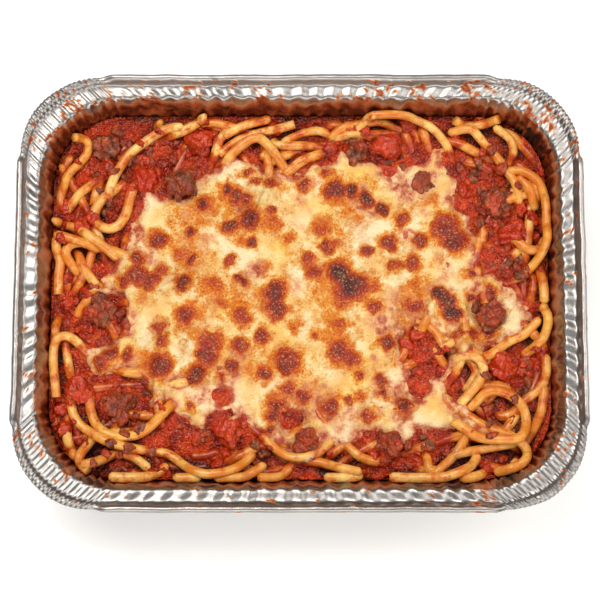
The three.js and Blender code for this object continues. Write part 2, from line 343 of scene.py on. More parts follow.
# Strands that lie in sight, from the lowest to the highest: the places each one runs through,
# then how deep its two ends go under (0 is a cut end in sight).
STRANDS = [
    # far side, left to middle
    ([(-40, 51), (-35, 51), (-31, 52)], 2, 2), ([(-48, 54), (-44, 55), (-39, 56), (-32, 61)], 3, 2),
    ([(-31, 43), (-28, 49), (-28, 52), (-24, 57)], 2, 2), ([(-13, 46), (-11, 49), (-8, 54)], 2, 2),
    ([(-10, 52), (-3, 51), (4, 51), (10, 50)], 2, 2),
    ([(-6, 41), (-3, 43), (1, 46), (6, 48), (11, 50)], 2, 2),
    ([(-26, 54), (-21, 57), (-16, 59), (-10, 60.5)], 2, 0.5),
    ([(-27, 48), (-24, 51), (-18, 54), (-11, 56), (-2, 59)], 2, 0),
    ([(-29, 41), (-26, 44), (-22, 49), (-18, 52), (-14, 54), (-10, 50), (-7, 46), (-4, 42)], 3, 3),
    ([(-6, 52), (-3, 54), (2, 56), (6, 57), (10, 55), (12, 51)], 2, 2),
    # far side, right
    ([(9, 53), (12, 54), (16, 55), (20, 55), (25, 53.5)], 2, 2),
    ([(10, 53), (11, 55), (15, 58), (20, 59), (27, 60), (32, 58), (36, 57)], 2, 2),
    ([(34, 60), (36, 59), (39, 56), (40, 51)], 2, 3), ([(35, 57), (36, 54), (37, 52), (38, 46)], 2, 3),
    ([(41, 59), (42, 56), (43, 52), (44, 47)], 2, 3), ([(47, 54), (54, 52), (59, 49), (66, 46)], 2, 2),
    ([(52, 47), (55, 46), (60, 45), (65, 42)], 2, 2), ([(52, 60), (58, 58), (62, 59), (67, 60)], 2, 0),
    ([(19, 56), (22, 60), (25, 63), (30, 64), (34, 63), (39, 60), (44, 58), (46, 56), (49, 52), (51, 48),
      (52, 44)], 2, 3),
    ([(65, 57), (68, 55), (70, 54), (71, 52), (72, 48), (69, 44)], 2, 2),
    ([(50, 56), (54, 57), (58, 57), (61, 53), (65, 49), (68, 44), (71, 40), (73, 35), (73, 30)], 2, 3),
    # far left corner
    ([(-68, 27), (-69, 30), (-68, 35), (-66, 42)], 2, 2),
    ([(-79, 28), (-76, 31), (-73, 35), (-67, 40)], 2, 2),
    ([(-77, 54), (-71, 53), (-71, 49), (-74, 45), (-78, 41), (-80.5, 33)], 0, 3),
    ([(-53, 41), (-56, 35), (-58, 27), (-61, 23), (-64, 22), (-68, 24), (-68.5, 27), (-67, 31), (-63, 35),
      (-58, 39)], 2, 2),
    ([(-39, 57), (-43, 57.5), (-48, 55.2), (-52.6, 52), (-58, 47.4), (-61.2, 42), (-63, 37),
      (-64, 32)], 1, 2),
    # left side
    ([(-81, 19), (-81, 14), (-79, 12), (-80, 8), (-80, 4), (-80, 0)], 2, 0),
    ([(-75, -3), (-76, -6), (-77, -11)], 2, 2),
    ([(-66, 5), (-67, 2), (-68, 0), (-72, -4), (-74, -8)], 2, 0.5),
    ([(-76, 16), (-73, 14), (-73, 11), (-71, 8), (-67, 3)], 2, 2),
    ([(-68, 18), (-71, 18), (-75, 18), (-78, 16), (-78, 13), (-76, 11), (-73, 7)], 2, 3),
    ([(-81.5, 20), (-79, 20), (-74, 18), (-70, 17), (-66, 15)], 1, 2),
    ([(-82, 25), (-78, 24), (-73, 22), (-69, 19), (-65, 16), (-60, 12)], 2, 3),
    ([(-78, -14), (-77, -18), (-76, -25), (-74, -31)], 2, 2),
    ([(-80, -34), (-81, -25), (-81, -19), (-81, -16), (-80, -14), (-76, -13.5), (-72, -17),
      (-68, -22)], 0, 3),
    # near left corner
    ([(-76, -39), (-76, -43), (-76, -48), (-73, -54)], 2, 2), ([(-74, -42), (-73, -45), (-72, -50)], 2, 2),
    ([(-67, -46), (-68, -48), (-71, -52), (-72, -56), (-70, -60)], 2, 0),
    ([(-62, -61), (-59, -61), (-53, -61.5), (-48, -60), (-43, -56)], 1, 2),
    ([(-71, -57), (-69, -56), (-65, -55), (-61, -52), (-58, -52), (-53, -54), (-49, -58)], 1, 2),
    ([(-69, -27), (-69, -31), (-69, -35), (-68, -40), (-66, -44), (-61, -47), (-57, -47), (-52, -46),
      (-46, -41), (-41, -34)], 3, 3),
    ([(-66, -24), (-69, -26), (-73, -29), (-75, -33), (-75, -37), (-73, -42), (-69, -45), (-64, -48),
      (-58, -50), (-52, -51), (-45, -52)], 3, 2),
    # near side
    ([(-41, -61), (-38, -62), (-32, -61)], 1, 2), ([(-36, -53), (-31, -53), (-26, -51)], 2, 2),
    ([(-14, -62), (-9, -62), (-6, -61), (-4, -58), (-1, -53)], 2, 2),
    ([(-28, -62), (-21, -62), (-16, -60), (-11, -56)], 2, 2),
    ([(-48, -52), (-43, -52), (-37, -57), (-33, -59.5), (-28, -60), (-22, -58.5), (-18, -56),
      (-15, -52)], 2, 2),
    ([(8, -62), (11, -61.5), (15, -62), (20, -60)], 1, 1),
    ([(14, -49), (17, -51), (20, -54), (27, -55)], 2, 2),
    ([(-2, -54), (2, -55), (6, -55), (11, -57), (20, -59)], 2, 1),
    ([(-8, -46), (-5, -48), (-1, -45), (5, -41)], 1, 3),
    ([(-13, -46), (-9, -50), (-5, -53), (0, -54), (6, -52), (10, -48), (13, -44)], 2, 3),
    # near right corner
    ([(58, -30), (63, -30), (66, -30), (71, -33)], 2, 2), ([(64, -39), (67, -41), (72, -37)], 2, 2),
    ([(59, -55), (63, -57), (68, -58)], 2, 2), ([(52, -62), (57, -61), (61, -58)], 1, 2),
    ([(42, -61), (44, -59), (48, -55), (52, -51), (55, -45)], 2, 2),
    ([(49, -53), (53, -52), (58, -51), (64, -50), (71, -49)], 2, 2),
    ([(29, -61), (32, -61), (37, -62.5), (43, -62.5), (48, -61), (54, -58), (57, -55), (58, -52)], 1, 2),
    ([(81, -20), (81, -28), (78, -32), (72, -36)], 2, 2),
    ([(80.5, -30), (79, -39), (76, -45), (73, -49)], 2, 2),
    ([(44, -29), (46, -32), (50, -37), (55, -40), (61, -44), (67, -46), (71, -48), (74, -51), (74, -54),
      (70, -57), (63, -59)], 3, 2),
    ([(54, -32), (57, -29), (58.5, -24)], 2, 2),
    ([(50, -22), (52, -21), (56, -20), (60, -23), (60, -27), (58, -30), (54, -34), (50, -39)], 3, 2),
    ([(55, -38), (58, -35), (61, -32), (66, -32), (70, -34), (73, -37), (74, -42), (73, -46), (71, -48),
      (67, -48), (62, -48), (57, -47), (52, -43), (45, -39)], 2, 3),
    # right side
    ([(77, 8), (78, 5), (77, 1), (76, -4)], 2, 2), ([(79, 11), (80, 8), (81, 3), (81, -3)], 2, 2),
    ([(69, 7), (72, 2), (74, -2)], 2, 2), ([(58, 27), (59, 25), (62, 22), (60, 18)], 2, 2),
    ([(73, 41), (75, 38), (77, 35), (79, 29)], 2, 2),
    ([(80, -3), (81, -5), (82, -8), (81, -13), (78, -17), (73, -20)], 2, 2),
    ([(60, -21), (63, -20), (69, -15), (74, -13), (79, -8)], 2, 2),
    ([(68, 24), (70, 22), (72, 18), (76, 15), (80, 15), (82, 19)], 2, 1),
    ([(69, 42), (73, 42.5), (76, 41), (80, 38), (81.5, 33), (83, 28), (82.5, 22), (81, 15), (77, 10),
      (72, 6), (66, 4)], 2, 3),
]


def stray_routes(count, seed):
    """Bent strands at random all over the tray, to lie under the ones in sight."""
    pick = random.Random(seed)
    shape = outline_at(EDGE_LEVEL)
    routes = []
    while len(routes) < count:
        x, y = pick.uniform(-78, 78), pick.uniform(-57, 57)
        if inside(x, y, shape) < 3 or (abs(x) < 46 and abs(y) < 34 and pick.random() < 0.6):
            continue
        heading, bend = pick.uniform(0, 2 * math.pi), pick.uniform(-0.07, 0.07)
        places = [(x, y)]
        for _ in range(pick.randint(18, 36)):
            bend = max(-0.2, min(0.2, bend + pick.uniform(-0.035, 0.035)))
            heading += bend
            nx, ny = x + 2 * math.cos(heading), y + 2 * math.sin(heading)
            if inside(nx, ny, shape) < 2.2:
                toward = math.atan2(-y, -x)
                heading += 0.5 * math.sin(toward - heading)
                bend *= 0.5
                nx, ny = x + 2 * math.cos(heading), y + 2 * math.sin(heading)
            if inside(nx, ny, shape) < 1.6:
                break
            x, y = nx, ny
            places.append((x, y))
        if len(places) > 8:
            routes.append(places[::2])
    return routes


def drawn_in(x, y):
    """Eases places close to the wall away from it."""
    over_x = max(0, abs(x) - 76)
    over_y = max(0, abs(y) - 55)
    return x - math.copysign(0.06 * over_x, x), y - math.copysign(0.1 * over_y, y)


def strand_route(places, seed):
    """Even places along a strand, wandering a little and kept off the wall."""
    route = smooth_route([drawn_in(x, y) for x, y in places], STRAND_STEP)
    x, y = route.T
    route = route + 0.35 * np.column_stack([layered(x, y, 9, seed), layered(y, x, 9, seed + 7)])
    over = np.maximum(0, STRAND_INSET - inside(route[:, 0], route[:, 1], outline_at(EDGE_LEVEL + 3)))
    route -= over[:, None] * route / np.linalg.norm(route, axis=1)[:, None]
    for _ in range(8):
        route[1:-1] = 0.25 * route[:-2] + 0.5 * route[1:-1] + 0.25 * route[2:]
    return route


def make_strands(name, heights, sauce_top, routes, material, seed, sink):
    """One piece of many strands, each laid on those before it."""
    pick = random.Random(seed)
    points, faces, tones, coats, start = [], [], [], [], 0
    for number, (places, dive_a, dive_b) in enumerate(routes):
        route = strand_route(places, seed + number)
        radius = STRAND * pick.uniform(0.93, 1.06)
        line = lay(heights, route, radius, sink, (dive_a, dive_b))
        x, y, z = line.T
        width = radius * (1 + 0.03 * layered(x, y, 4, 5))
        p, f = tube(line, width, dive_a > 0 and dive_b > 0)
        points.append(p)
        faces += [tuple(start + i for i in face) for face in f]
        start += len(p)
        tones.append(np.full(len(p), pick.random()))
        coat = ramp01(sample(sauce_top, x, y) + 0.6 - z, -1.6, 1.6)
        coats.append(np.repeat(coat, STRAND_SIDES))
    piece = new_piece(name, np.vstack(points), faces, material)
    set_mask(piece, "tone", np.concatenate(tones))
    set_mask(piece, "coat", np.concatenate(coats))
    return piece


# ---- Melted cheese -----------------------------------------------------------------------
# The sheet's edge, clockwise from the far left; lobes and fingers run out over the pasta.
CHEESE_EDGE = [
    (-53, 27), (-50, 34), (-45, 31), (-42, 34), (-36, 40), (-30, 41), (-24, 46), (-17, 44), (-9, 41.5),
    (-2, 41), (6, 43), (11, 46), (13, 51), (15, 49), (18, 45), (23, 46), (28, 43), (34, 43), (40, 45),
    (46, 49), (47, 45), (50, 41), (52, 36), (51, 31), (55, 28), (57, 20), (57, 12), (60, 8), (65, 7),
    (70, 1), (74, -6), (72, -11), (66, -14), (60, -16), (54, -19), (50, -23), (46, -28), (48, -34),
    (50, -41), (45, -44), (38, -44), (34, -48), (27, -45), (20, -46), (13, -49), (7, -47), (0, -49),
    (-8, -48), (-14, -45), (-18, -41), (-22, -37), (-28, -38), (-32, -43), (-37, -41), (-41, -35),
    (-47, -32), (-52, -27), (-58, -24), (-64, -26), (-69, -23), (-68, -18), (-62, -15), (-57, -11),
    (-56, -4), (-60, 1), (-65, 4), (-62, 9), (-58, 13), (-57, 18), (-55, 23),
]
# Holes where the sheet has pulled apart: [x, y, half length, half width, turn in degrees].
CHEESE_HOLES = [
    (-26, -33.5, 3.0, 2.8, 0), (-3, -41, 3.4, 3.0, 20), (2, -47.5, 2.6, 2.2, 0), (62, -5, 4.2, 4.6, 0),
    (41.5, -18.5, 8.0, 9.5, 20), (38.5, -29.5, 3.6, 4.8, 10), (-39.6, 37.5, 3.4, 4.4, 20), (30, 44, 3, 4, 0),
    (57.5, -24, 3.4, 4.6, -30), (52, -30.5, 2.6, 2.6, 0), (-28, -45, 3, 3, 0), (21, 50, 3, 2.5, 0),
]
# Threads of cheese drawn out over the pasta: places, then half width.
CHEESE_THREADS = [
    ([(45, 42), (47, 47)], 1.4), ([(66, -2), (73, -8)], 1.6), ([(48, -34), (56, -42), (60, -46)], 1.3),
    ([(10, -46), (6, -52), (0, -54), (-6, -52)], 1.5), ([(-62, 2), (-69, 2)], 1.3),
    ([(13, 40), (12, 45)], 1.1),
    ([(54, -20), (61, -22)], 1.2), ([(-45, -33), (-48, -37)], 1.0), ([(-20, -39), (-24, -43)], 1.1),
]
# Places where the sheet is thin and the sauce shows through: [x, y, radius].
WORN = [
    (20, 33, 5), (25, 29, 4), (33, 38, 5), (36, 33, 4), (-44, 38, 6), (-39, 34, 4), (-15, 8, 4.5),
    (-46, -11, 4.5), (-24, -27, 5), (-20, -20, 4), (27, -10, 5), (28, -30, 5), (7, -37, 6),
    (14, -42, 4.5), (-50, 14, 5), (58, 2, 4), (-33, -33, 4), (52, -10, 4.5), (56, 30, 3.5), (-56, -8, 4),
    (-20, 30, 3), (-54, 22, 4), (-8, 41, 3.5), (4, 38, 4), (41, 38, 5), (63, -6, 5), (34, -40, 5),
    (-5, -46, 4), (-40, -30, 4.5), (-2, 3, 3), (36, 20, 3),
]
# Blisters browned by the grill: [x, y, radius] by how far they have gone.
GLOWING = [
    (-28, 4, 9), (-33, 14, 6), (40, 2, 9), (30, 12, 7), (15, 6, 11), (0, 14, 8), (-8, -2, 8),
    (-17, 24, 8), (-30, -16, 9), (12, -16, 9), (50, 20, 8), (-46, 10, 8), (-46, -24, 8), (4, -30, 9),
    (22, 32, 7), (-6, 36, 8), (54, -8, 7), (22, -38, 6), (-6, -40, 6), (-52, -22, 6), (38, 30, 5),
    (-14, -18, 8), (28, -20, 5), (-38, 26, 6),
]
GOLDEN = [
    (-4, 19.5, 4.6), (-12, 9, 3.6), (5.5, -14, 2), (13, -10, 3.2), (46, 12, 3.2), (-46, -28, 3),
    (-10, 24, 5), (-28, 4, 4), (-2, -10, 4), (24, 4, 4), (35, -10, 4), (-20, 18, 4), (-40, 14, 4),
    (8, 22, 4), (20, -33, 3), (56, 6, 3), (-52, 0, 4), (-26, -2, 3), (43, 32, 3),
]
BROWNED = [
    (-23, 22.5, 2.8), (-16.5, 25.5, 4.1), (-32, 30.5, 3.1), (-9, 28.5, 1.8), (-23.5, 11, 2.4),
    (2, 12, 3.2), (5, 8, 3.2), (9, 16, 2.4), (29.5, 17.5, 3.2), (-37, -7, 4.6), (-19.5, -7, 3.6),
    (-29.5, -15.5, 4.8), (-30, -21, 4.6), (-19.5, -16.5, 3.3), (-12, -14, 3.2), (-4, -21.5, 4.9),
    (13, -19, 4.4), (17, -20.5, 3.9), (24.5, -4.5, 2.6), (29, -15.5, 3), (-38.5, 4, 3), (40, 18.5, 3),
    (33.5, 25.5, 2.6), (31.5, 10, 3), (37, 11, 3.3), (37.5, -4.5, 3.1), (56, -1, 1.7), (57.5, 7, 1.7),
    (62.5, 1, 2), (52, -14, 2.6), (57, -13, 2.4), (62, -12, 2.3), (27.5, -16.5, 2.6), (-47, 18.5, 3.3),
    (-59, 4, 2.4), (-46.5, 8, 2.6), (-46.5, -11, 2.6), (-45.5, -15.5, 3), (-45.5, -23.5, 4.6),
    (-34, -26.5, 3.6), (-51.5, -30, 3), (-35.5, -37, 1.7), (-11.5, -26, 2.3), (-5, -24, 2.8),
    (-32.5, -19.5, 2.6), (-35, -28, 2.4), (-22, -23.5, 2.3), (-25.5, -27.5, 2.2), (-3.5, -30.5, 3),
    (-8, -36, 3.1), (-9, -39.5, 2.7), (-10.5, -44.5, 2), (10, -37, 3.6), (0.5, -33.5, 2.5),
    (22, -39.5, 2.6), (20, -27, 1.6), (16.5, -35, 1.7), (26.5, -29, 2), (-36.5, 21, 1.7),
    (-17.5, 41.5, 1.7), (-14.5, 39, 2), (-10, 38, 3), (0.5, 37.5, 2.6), (11.5, 35, 3.4), (-25, 36, 2),
    (-21.5, 34, 2.4), (-18, 32, 2.7), (8.5, 41.5, 2.2), (-36, 12, 1.6), (34, -36, 3), (27, -33, 2),
    (-56, -20, 2.4),
]
DARK = [
    (22.5, 15, 2.6), (13, 8, 4.6), (17, 2.5, 6), (-8, 0.5, 4.2), (-8, -4.5, 4.2), (48, 24, 5.4),
    (52, 18.5, 5.2), (46, 1, 3), (50, -6, 3.7), (48, -2, 3.3), (-54, 12.5, 3), (-54.5, 6.5, 4.4),
    (-50, 4.5, 3.6), (17, 35, 2.8), (22, 32, 3), (27, 29.5, 2.7), (-62.5, -20, 3.2), (-65.5, -22.5, 3.2),
    (-19, 5, 1.6), (-16, 17, 2.2),
]
# For each set: how far its spots have gone, and how much of a spot has the full colour.
BROWNING = [(GLOWING, 0.21, 0), (GOLDEN, 0.36, 0), (BROWNED, 0.68, 0.25), (DARK, 0.84, 0.2)]


def segment_distance(x, y, start, end):
    """Distance from a straight piece of line."""
    (ax, ay), (bx, by) = start, end
    dx, dy = bx - ax, by - ay
    t = np.clip(((x - ax) * dx + (y - ay) * dy) / (dx * dx + dy * dy), 0, 1)
    return np.hypot(x - ax - t * dx, y - ay - t * dy)


def edge_distance(x, y, loop):
    """Distance inwards from a closed outline, negative outside."""
    best, odd = np.full(x.shape, 1e9), np.zeros(x.shape, dtype=bool)
    for start, end in zip(loop, np.roll(loop, -1, axis=0)):
        best = np.minimum(best, segment_distance(x, y, start, end))
        (ax, ay), (bx, by) = start, end
        if ay != by:
            odd ^= ((ay > y) != (by > y)) & (x < ax + (y - ay) * (bx - ax) / (by - ay))
    return np.where(odd, best, -best)


def cheese_loop():
    """The outline of the sheet as even places, once round."""
    closed = smooth_route(CHEESE_EDGE + CHEESE_EDGE[:3], 1.6)[:-2]
    back = np.hypot(*(closed - closed[0]).T)
    back[:len(closed) // 2] += 1e3
    return closed[:np.argmin(back)]


def cheese_cover(x, y):
    """How far inside the cheese a place is, in millimetres."""
    x = x + 1.8 * layered(x, y, 6, 301)
    y = y + 1.8 * layered(x, y, 6, 311)
    cover = edge_distance(x, y, cheese_loop()) + 0.6
    cover += 1.9 * layered(x, y, 4.2, 321) * (1 - 0.5 * ramp01(cover, 3, 9))
    for places, half in CHEESE_THREADS:
        line = smooth_route(places, 1.2)
        for start, end in zip(line, line[1:]):
            cover = np.maximum(cover, half - segment_distance(x, y, start, end))
    for hx, hy, long, wide, turn in CHEESE_HOLES:
        c, s = math.cos(math.radians(turn)), math.sin(math.radians(turn))
        u, v = (x - hx) * c + (y - hy) * s, (y - hy) * c - (x - hx) * s
        cover = np.minimum(cover, (np.hypot(u / long, v / wide) - 1) * min(long, wide))
    return cover


def browning(x, y):
    """0 is pale cheese, 1 is charred."""
    wx = x + 2.0 * layered(x, y, 4.4, 401) + 0.6 * layered(x, y, 1.5, 403)
    wy = y + 2.0 * layered(x, y, 4.4, 411) + 0.6 * layered(x, y, 1.5, 413)
    result = np.zeros(np.shape(x))
    for spots, strength, core in BROWNING:
        for i, (sx, sy, radius) in enumerate(spots):
            gone = strength * (1 + 0.14 * math.sin(7.3 * i))
            away = np.hypot(wx - sx, wy - sy) / radius
            fresh = gone * (1 - ramp01(away, core, 1.42))
            halo = (0.12 + 0.4 * core) * (1 - ramp01(away * radius, radius, radius * 1.35 + 2.1))
            result = np.maximum(result, np.maximum(fresh, halo)) + 0.15 * np.minimum(result, fresh)
    patch = ramp01(layered(x, y, 13, 421), -0.15, 0.6)
    return np.clip(result * 0.94 + 0.15 * patch + 0.12 * layered(x, y, 2.4, 431), 0, 1)


def shade_depth(piece, surface):
    """Marks how deep each point lies below the surface round it, 0 on top to 1 at 4 mm; the sauce and the
    pasta darken by it as painted shade in the hollows.
    """
    flat = np.empty(len(piece.data.vertices) * 3)
    piece.data.vertices.foreach_get("co", flat)
    x, y, z = flat.reshape(-1, 3).T / MM
    set_mask(piece, "depth", ramp01(sample(surface, x, y) - z, 0.4, 4))


def draped(name, x, y, top, keep, material):
    """A sheet over the grid cells whose four corners are kept; returns it with the mask of its points."""
    index = np.full(x.shape, -1)
    used = np.zeros(x.shape, dtype=bool)
    cells = keep[:-1, :-1] & keep[1:, :-1] & keep[:-1, 1:] & keep[1:, 1:]
    here, after = slice(0, -1), slice(1, None)
    for rows, cols in ((here, here), (after, here), (here, after), (after, after)):
        used[rows, cols] |= cells
    index[used] = np.arange(used.sum())
    corner = (index[:-1, :-1], index[:-1, 1:], index[1:, 1:], index[1:, :-1])
    faces = np.stack([c[cells] for c in corner], axis=1).tolist()
    return new_piece(name, np.column_stack([x[used], y[used], top[used]]), faces, material), used


def clot_surface(heights, near, far, cover, x, y):
    """The lumpy top of the clots over what lies below, thin towards their edges."""
    deep = ramp01(cover, 0.5, 4)
    under = sample(near, x, y) * (1 - deep) + sample(far, x, y) * deep
    under = np.maximum(under, sample(heights, x, y) - 1.3)
    lumps = 0.9 * layered(x, y, 3.4, 81) + 0.5 * layered(x, y, 1.3, 91, 2)
    return under - 2.1 + 2.2 * ramp01(cover, -1.5, 0.6) + 1.0 * deep + lumps * ramp01(cover, -0.5, 1.5)


def make_clots(name, heights, clots, material):
    """Clots of chunky sauce draped over what lies below; they count for what is laid next."""
    x, y = np.meshgrid(np.arange(-84, 84, CLOT_PITCH), np.arange(-63, 63, CLOT_PITCH))
    near, far = blur(heights, 0.8), blur(heights, 2.2)
    cover = clot_cover(x, y, clots)
    top = np.maximum(clot_surface(heights, near, far, cover, x, y), wall_height(x, y, CLOT_ROOM))
    piece, _ = draped(name, x, y, top, cover > -1.5, material)
    heights[:] = np.maximum(heights, clot_surface(heights, near, far, clot_cover(XX, YY, clots), XX, YY))
    thicken(piece, CLOT_THICKNESS)
    return piece


def thin_places(x, y, cover):
    """Where the sheet has worn thin, 0 to 0.9."""
    worn = 0.8 * ramp01(layered(x, y, 8, 461), 0.12, 0.5) * (1 - ramp01(cover, 5, 18) * 0.7)
    for wx, wy, radius in WORN:
        away = np.hypot(x - wx, y - wy) / radius + 0.35 * layered(x, y, 3, 481, 2)
        worn = np.maximum(worn, 0.9 * (1 - ramp01(away, 0.3, 1.25)))
    return worn


def make_cheese(heights, material):
    """The melted sheet, sunk round what lies below it, blistered where it browned."""
    x, y = np.meshgrid(np.arange(-76, 78, CHEESE_PITCH), np.arange(-58, 56, CHEESE_PITCH))
    cover = cheese_cover(x, y)
    near, far = blur(heights, 0.9), blur(heights, 2.4)
    deep = ramp01(cover, 0.5, 6)
    under = sample(near, x, y) * (1 - deep) + sample(far, x, y) * deep
    under = np.maximum(under, sample(heights, x, y) - 0.55 - 0.5 * deep)
    brown = browning(x, y)
    sheet = -2.4 + 2.65 * ramp01(cover, -1.7, 0.5) + 1.15 * ramp01(cover, 0, 4)
    top = under + sheet + 0.25 * layered(x, y, 5, 441) * deep
    blister = ramp01(brown, 0.22, 0.9)
    raised = 1.15 * blister + 0.3 * blister * layered(x, y, 1.2, 451, 2)
    top += deep * (raised + 0.35 * layered(x, y, 3.2, 471, 2))
    worn = thin_places(x, y, cover)
    top -= 0.7 * worn * deep
    piece, used = draped("cheese_sheet", x, y, top, cover > -1.7, material)
    set_mask(piece, "brown", brown[used])
    set_mask(piece, "thin", np.maximum(1 - ramp01(cover, 0.2, 3.6), worn)[used])
    thicken(piece, CHEESE_THICKNESS)
    return piece


# ---- Sauce core --------------------------------------------------------------------------
def rounded_grid(u, v, shape):
    """Carries a square grid, -1 to 1 each way, onto a rounded rectangle."""
    hx, hy, r = shape
    m = np.maximum(np.maximum(np.abs(u), np.abs(v)), 1e-6)
    bx, by = np.abs(hx * u / m), np.abs(hy * v / m)
    cx, cy = hx - r, hy - r
    k = np.ones_like(m)
    corner = (bx > cx) & (by > cy)
    a, b = bx ** 2 + by ** 2, bx * cx + by * cy
    c = cx ** 2 + cy ** 2 - r ** 2
    root = (b + np.sqrt(np.maximum(b ** 2 - a * c, 0))) / a
    k[corner] = np.minimum(1, root[corner])
    pull = 1 - (1 - k) * m ** 3
    return hx * u * pull, hy * v * pull


def make_sauce(heights, material):
    """The sauce between the strands: a grid shaped to the tray, with a skirt to its floor."""
    deselect()
    bpy.ops.mesh.primitive_grid_add(x_subdivisions=250, y_subdivisions=186, size=2)
    piece = bpy.context.object
    piece.name = piece.data.name = "meat_sauce"
    mesh = piece.data
    flat = np.empty(len(mesh.vertices) * 3)
    mesh.vertices.foreach_get("co", flat)
    shape = tuple(value - SAUCE_INSET for value in outline_at(EDGE_LEVEL + 0.4))
    x, y = rounded_grid(flat[0::3].copy(), flat[1::3].copy(), shape)
    z = np.maximum(sample(heights, x, y), wall_height(x, y, SAUCE_ROOM))
    mesh.vertices.foreach_set("co", np.column_stack([x, y, z]).ravel() * MM)
    mesh.materials.append(material)
    bpy.ops.object.mode_set(mode="EDIT")
    bpy.ops.mesh.select_all(action="SELECT")
    bpy.ops.mesh.region_to_loop()
    bpy.ops.mesh.extrude_edges_move(TRANSFORM_OT_translate={"value": (0, 0, 0)})
    bpy.ops.transform.resize(value=(0.88, 0.84, 0), center_override=(0, 0, 2 * MM))
    bpy.ops.mesh.edge_face_add()
    bpy.ops.mesh.select_all(action="SELECT")
    bpy.ops.mesh.normals_make_consistent(inside=False)
    bpy.ops.object.mode_set(mode="OBJECT")
    mesh.shade_smooth()
    return piece


# ---- Lumps: mince and tomato -------------------------------------------------------------
# Where the crumbs of mince and the bits of tomato gather.
MEATY = [
    (-62, 50), (-56, 45), (-40, 38), (-44, 48), (18, 47), (30, 46), (41, 38), (60, 43), (66, 32),
    (64, 24), (66, 9), (71, 11), (62, -6), (66, -10), (-64, -4), (-61, -9), (-61, -35), (-56, -39),
    (-60, -58), (-30, -46), (-13, -52), (2, -48), (22, -46), (29, -53), (38, -55), (72, -29), (63, -38),
    (-66, 33),
]
RED = [
    (-48, 45), (-36, 58), (-66, 44), (-53, 42), (28, 52), (12, 50), (52, 58), (60, 35), (74, 26),
    (-74, 4), (-77, -2), (-79, 28), (-71, -13), (-78, -38), (-38, -49), (-41, -42), (-21, -45), (73, -21),
    (26, -58), (7, -56), (42, -18), (36, -48), (-50, 30),
]

# A lump that makes room for a strand in sight, in millimetres.
ASIDE = {"mince_lump_1": (-3.2, 3.2)}


def lump_points(centre, size, seed, grain, depth, detail, turn):
    """A rough lump shaped from a ball; grain is the size of its crumbs."""
    deselect()
    bpy.ops.mesh.primitive_ico_sphere_add(subdivisions=detail, radius=1)
    ball = bpy.context.object
    c, s = math.cos(turn), math.sin(turn)
    points = []
    for vertex in ball.data.vertices:
        p = vertex.co
        wide = Vector((p.x * size[0], p.y * size[1], p.z * size[2]))
        at = wide / grain + Vector((seed, 0.37 * seed, 0))
        crumb = 0.55 - noise.voronoi(at)[0][0]
        form = noise.noise(p * 1.1 + Vector((seed, 0, 0)))
        form += 0.45 * noise.noise(p * 2.3 + Vector((0, seed, 0)))
        wide *= 1 + depth * crumb + 0.4 * depth * noise.noise(at * 2.7) + 0.55 * form
        points.append((centre[0] + wide.x * c - wide.y * s, centre[1] + wide.x * s + wide.y * c,
                       centre[2] + wide.z))
    faces = [tuple(f.vertices) for f in ball.data.polygons]
    mesh = ball.data
    bpy.data.objects.remove(ball)
    bpy.data.meshes.remove(mesh)
    return points, faces


def node_lump(node, material, slot, grain, depth, seed):
    """A rough lump in the place of its plain solid, sunk into the sauce or under the cheese."""
    low, high = (np.array(corner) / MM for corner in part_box(node))
    centre, size = (low + high) / 2, (high - low) / 2
    centre[:2] += ASIDE.get(node, (0, 0))
    covered = float(cheese_cover(centre[:1], centre[1:2])[0]) > 0
    centre[2] -= 4.0 if covered else 2.2
    points, faces = lump_points(centre, size * 1.05, seed, grain, depth, 5, 0)
    piece = new_piece(node + "_fine", points, faces, material)
    set_mask(piece, "tone", np.full(len(points), (seed * 0.37) % 1))
    stands_for(piece, slot, node)


def scatter(name, heights, places, material, slot, grain, depth, rise):
    """Many small lumps of one kind joined into one piece: places are [x, y, size, seed]."""
    points, faces, tones = [], [], []
    for x, y, size, seed in places:
        pick = random.Random(seed)
        z = float(sample(heights, x, y)) + rise * size
        shape = (size, size * pick.uniform(0.65, 0.95), size * pick.uniform(0.55, 0.8))
        p, f = lump_points((x, y, z), shape, seed % 97, grain, depth, 3, pick.uniform(0, 3.1))
        faces += [tuple(i + len(points) for i in face) for face in f]
        points += p
        tones += [pick.random()] * len(p)
    piece = new_piece(name, points, faces, material)
    set_mask(piece, "tone", tones)
    stands_for(piece, slot)


def near_places(centres, count, sizes, seed):
    """Places at random round the given ones, clear of the wall and of all but the cheese's edge."""
    pick = random.Random(seed)
    shape = outline_at(EDGE_LEVEL)
    places = []
    while len(places) < count:
        cx, cy = pick.choice(centres)
        x, y = pick.gauss(cx, 4.5), pick.gauss(cy, 4.5)
        size = pick.uniform(*sizes)
        if inside(x, y, shape) < 1.3 * size + 0.8:
            continue
        if float(cheese_cover(np.array([x]), np.array([y]))[0]) > 0.4:
            continue
        places.append((x, y, size, pick.randint(1, 9999)))
    return places


